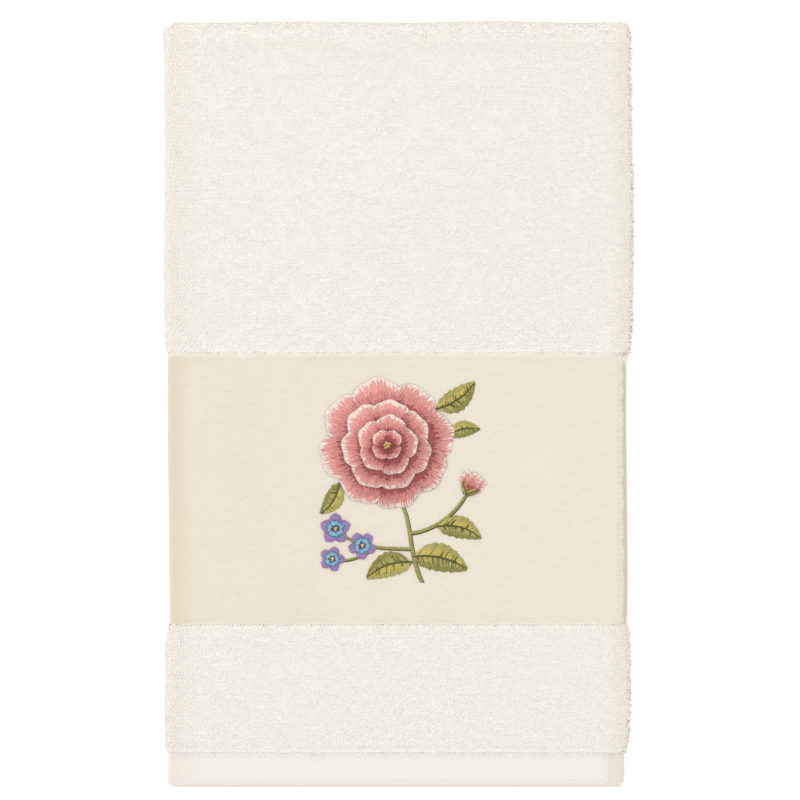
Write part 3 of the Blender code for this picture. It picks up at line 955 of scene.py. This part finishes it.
def leaf(foot, tip, bend, width, height):
    """Slanted stitches from the midrib to both edges of a leaf, one side of it lighter than the other."""
    foot, tip = np.array(foot), np.array(tip)
    run = tip - foot
    length = np.hypot(*run)
    aside = np.array((-run[1], run[0])) / length
    share = np.arange(0.01, 0.97, STRAND_PITCH / length)

    def on_midrib(share):
        return foot + share[:, None] * run + (4 * bend * length * share * (1 - share))[:, None] * aside

    def half_width(share):
        return width / 2 * np.clip(np.sin(np.pi * share**0.85), 0, 1) ** 0.8

    groups = []
    edge_share = share + 0.16 * (1 - share)
    rib = on_midrib(share)
    for side, inner, outer in ((-1, LIGHT_OLIVE, OLIVE), (1, YELLOW_GREEN, LIGHT_OLIVE)):
        ruffle = 1 + 0.05 * np.sin(40 * share) + needle.uniform(-0.05, 0.05, len(share))
        edge = on_midrib(edge_share) + (side * ruffle * half_width(edge_share))[:, None] * aside
        inner_end = needle.uniform(0.45, 0.75, (len(share), 1))
        outer_start = needle.uniform(0.30, 0.50, (len(share), 1))
        groups.append(stitches(between(rib, edge, outer_start), edge, height, outer))
        groups.append(stitches(rib, between(rib, edge, inner_end), height + 0.00006, inner))
        flecks = needle.random(len(share)) < FLECKED
        fleck_end = between(rib, edge, inner_end * needle.uniform(0.4, 1.2, (len(share), 1)))
        groups.append(stitches(rib[flecks], fleck_end[flecks], height + 0.00013, DARK_OLIVE))
    return groups + corded(on_midrib(share), 0.0009, 0.0004, height + 0.00018, DARK_OLIVE)


def knots(places, size, height, colour):
    """Knots, each of short stitches crossed over one another."""
    groups = []
    for turn in np.radians((10, 70, 130)):
        arm = size / 2 * np.array((np.cos(turn), np.sin(turn)))
        groups.append(stitches(places - arm, places + arm, height, colour))
    return groups


def knot_places(centre, count, spread):
    """Places that fill a disc evenly."""
    number = np.arange(count)
    out, turn = spread * np.sqrt((number + 0.5) / count), np.pi * (3 - np.sqrt(5)) * number
    return np.array(centre) + np.column_stack((out * np.cos(turn), out * np.sin(turn)))


def embroidered(name, groups):
    """Joins groups of stitches into one piece, with the colour of each stitch as an attribute."""
    start, end, height, colour = (np.concatenate(column) for column in zip(*groups))
    points = sewn(on_band(start), on_band(end), VELOUR_TOP + height, STRAND_WIDTH, STRAND_RISE)
    piece = joined_tubes(name, points)
    colour = np.column_stack((colour, np.ones(len(colour))))
    thread = piece.data.attributes.new("thread", "FLOAT_COLOR", "POINT")
    thread.data.foreach_set("color", np.repeat(colour, points.shape[1] * 3, axis=0).ravel())
    piece.data.materials.append(stranded_thread)
    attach(piece, "root")
    return piece


stranded_thread, shader, links, add = new_material("stranded thread", 0.42)
thread_colour = add("Attribute", attribute_name="thread").outputs["Color"]
fibres = noise(add("TexCoord").outputs["Object"], 2800.0, 2.0)
light = ramp(fibres, 0.0, 1.0, 0.82, 1.12)
colour = add("VectorMath", (0, thread_colour), ("Scale", light), operation="SCALE").outputs[0]
finish_shader(colour, fibres, 0.4, 0.00005, 0.15, 0.3)

# The bloom's rings of petals from the outside in, each turned so that its petals lie between the last
PetalRing = namedtuple("PetalRing", "petals foot length width height turn")
BLOOM_RINGS = (
    PetalRing(8, 0.0125, 0.0175, 0.0215, 0.00020, 0.20),
    PetalRing(7, 0.0072, 0.0138, 0.0170, 0.00048, 0.55),
    PetalRing(5, 0.0030, 0.0108, 0.0130, 0.00076, 0.10),
    PetalRing(4, 0.0008, 0.0064, 0.0078, 0.00100, 0.75),
)
BLOOM_CENTRE = (-0.0055, -0.0180)
LIT_FROM = np.radians(120)

bloom_groups = []
for ring in BLOOM_RINGS:
    for number in range(ring.petals):
        turn = ring.turn + 2 * np.pi * number / ring.petals
        shadow = 0.15 - 0.35 * np.cos(turn - LIT_FROM)
        length = ring.length * needle.uniform(0.93, 1.07)
        size = ring.foot, length, ring.width, ring.height
        bloom_groups += petal(BLOOM_CENTRE, turn, *size, ROSE_PETAL, shadow)
bloom_groups += knots(knot_places(BLOOM_CENTRE, 9, 0.0016), 0.0010, 0.00125, GOLD)

BUD_FOOT = (0.0300, -0.0400)
BUD_TURN = np.radians(62)
for turn, height in ((BUD_TURN - 0.42, 0.0002), (BUD_TURN + 0.42, 0.0003), (BUD_TURN, 0.0005)):
    bloom_groups += petal(BUD_FOOT, turn, 0.0, 0.0105, 0.0058, height, ROSE_PETAL)
bloom = embroidered("bloom", bloom_groups)

stem_groups = []
main_stem = soft_curve((0.001, -0.044), (0.006, -0.054), (0.004, -0.066), (0.010, -0.079))
bud_stem = soft_curve((0.0045, -0.0575), (0.013, -0.0570), (0.024, -0.0510), BUD_FOOT)
blossom_stem = soft_curve((0.0048, -0.0645), (-0.006, -0.0640), (-0.017, -0.0650), (-0.0285, -0.0560))
twig = soft_curve((-0.0120, -0.0648), (-0.0190, -0.0690), (-0.0240, -0.0705), (-0.0300, -0.0690))
for route, start_width, end_width in (
    (main_stem, 0.0016, 0.0020),
    (bud_stem, 0.0015, 0.0012),
    (blossom_stem, 0.0014, 0.0010),
    (twig, 0.0010, 0.0009),
):
    stem_groups += corded(route + (0.0003, -0.0004), start_width, end_width, 0.00008, DARK_OLIVE)
    stem_groups += corded(route, start_width, end_width, 0.00016, LIGHT_OLIVE)
for foot, tip, bend, width, height in (
    ((0.0060, -0.0680), (0.0310, -0.0740), 0.10, 0.0125, 0.00024),
    ((0.0170, -0.0545), (0.0370, -0.0600), 0.12, 0.0100, 0.00020),
    ((0.0058, -0.0705), (-0.0150, -0.0780), -0.12, 0.0110, 0.00020),
    ((0.0165, -0.0020), (0.0340, 0.0105), -0.10, 0.0105, 0.00010),
    ((0.0222, -0.0134), (0.0365, -0.0110), 0.10, 0.0075, 0.00010),
    ((-0.0268, -0.0350), (-0.0355, -0.0490), 0.12, 0.0085, 0.00010),
):
    stem_groups += leaf(foot, tip, bend, width, height)
for turn in (BUD_TURN - 0.75, BUD_TURN + 0.75):
    sepal_tip = np.array(BUD_FOOT) + 0.0062 * np.array((np.cos(turn), np.sin(turn)))
    stem_groups += leaf(BUD_FOOT, sepal_tip, 0.0, 0.0026, 0.00062)
leaves_and_stems = embroidered("leaves_and_stems", stem_groups)

Blossom = namedtuple("Blossom", "x y length turn")
blossom_groups = []
for blossom in (
    Blossom(-0.0285, -0.0555, 0.0062, 0.3),
    Blossom(-0.0165, -0.0630, 0.0056, 0.9),
    Blossom(-0.0300, -0.0690, 0.0050, 0.0),
):
    place = blossom.x, blossom.y
    for number in range(5):
        turn = blossom.turn + 2 * np.pi * number / 5
        size = 0.0006, blossom.length, 0.86 * blossom.length, 0.00045
        blossom_groups += petal(place, turn, *size, BLOSSOM_PETAL)
    blossom_groups += knots(knot_places(place, 4, 0.0007), 0.0009, 0.00075, GOLD)
small_blossoms = embroidered("small_blossoms", blossom_groups)

# The cloth is woven to 406 by 686 mm and carries its pile, its band and its stitches.

# ---- Floor, light and camera -------------------------------------------------------------------------
# A plain white floor under even studio light, seen from straight above.

bpy.ops.object.select_all(action="DESELECT")
bpy.ops.mesh.primitive_plane_add(size=6.0)
floor = bpy.context.object
floor.name = "floor"
floor_paint, shader, links, add = new_material("floor paint", 0.9)
shader.inputs["Base Color"].default_value = (0.96, 0.96, 0.96, 1)
shader.inputs["Emission Color"].default_value = (1, 1, 1, 1)
shader.inputs["Emission Strength"].default_value = 0.22
floor.data.materials.append(floor_paint)

world = bpy.data.worlds.new("studio")
bpy.context.scene.world = world
world.use_nodes = True
world.node_tree.nodes["Background"].inputs["Color"].default_value = (1, 1, 1, 1)
world.node_tree.nodes["Background"].inputs["Strength"].default_value = 1.02

bpy.ops.object.light_add(type="AREA", location=(-0.9, 0.9, 1.5), rotation=(-0.54, -0.54, 0))
key = bpy.context.object
key.data.shape = "SQUARE"
key.data.size = 1.6
key.data.energy = 7

# The camera stands so far off that the picture takes in its width at the height of the towel's top
LENS = 200
SENSOR_WIDTH = 36
PICTURE_WIDTH = 0.3573
PICTURE_CENTRE = (0.00036, 0.00205)
TOWEL_TOP = 0.0155
bpy.ops.object.camera_add(location=(*PICTURE_CENTRE, TOWEL_TOP + LENS / SENSOR_WIDTH * PICTURE_WIDTH))
camera = bpy.context.object
camera.data.lens = LENS
bpy.context.scene.camera = camera
bpy.context.scene.view_settings.view_transform = "Standard"
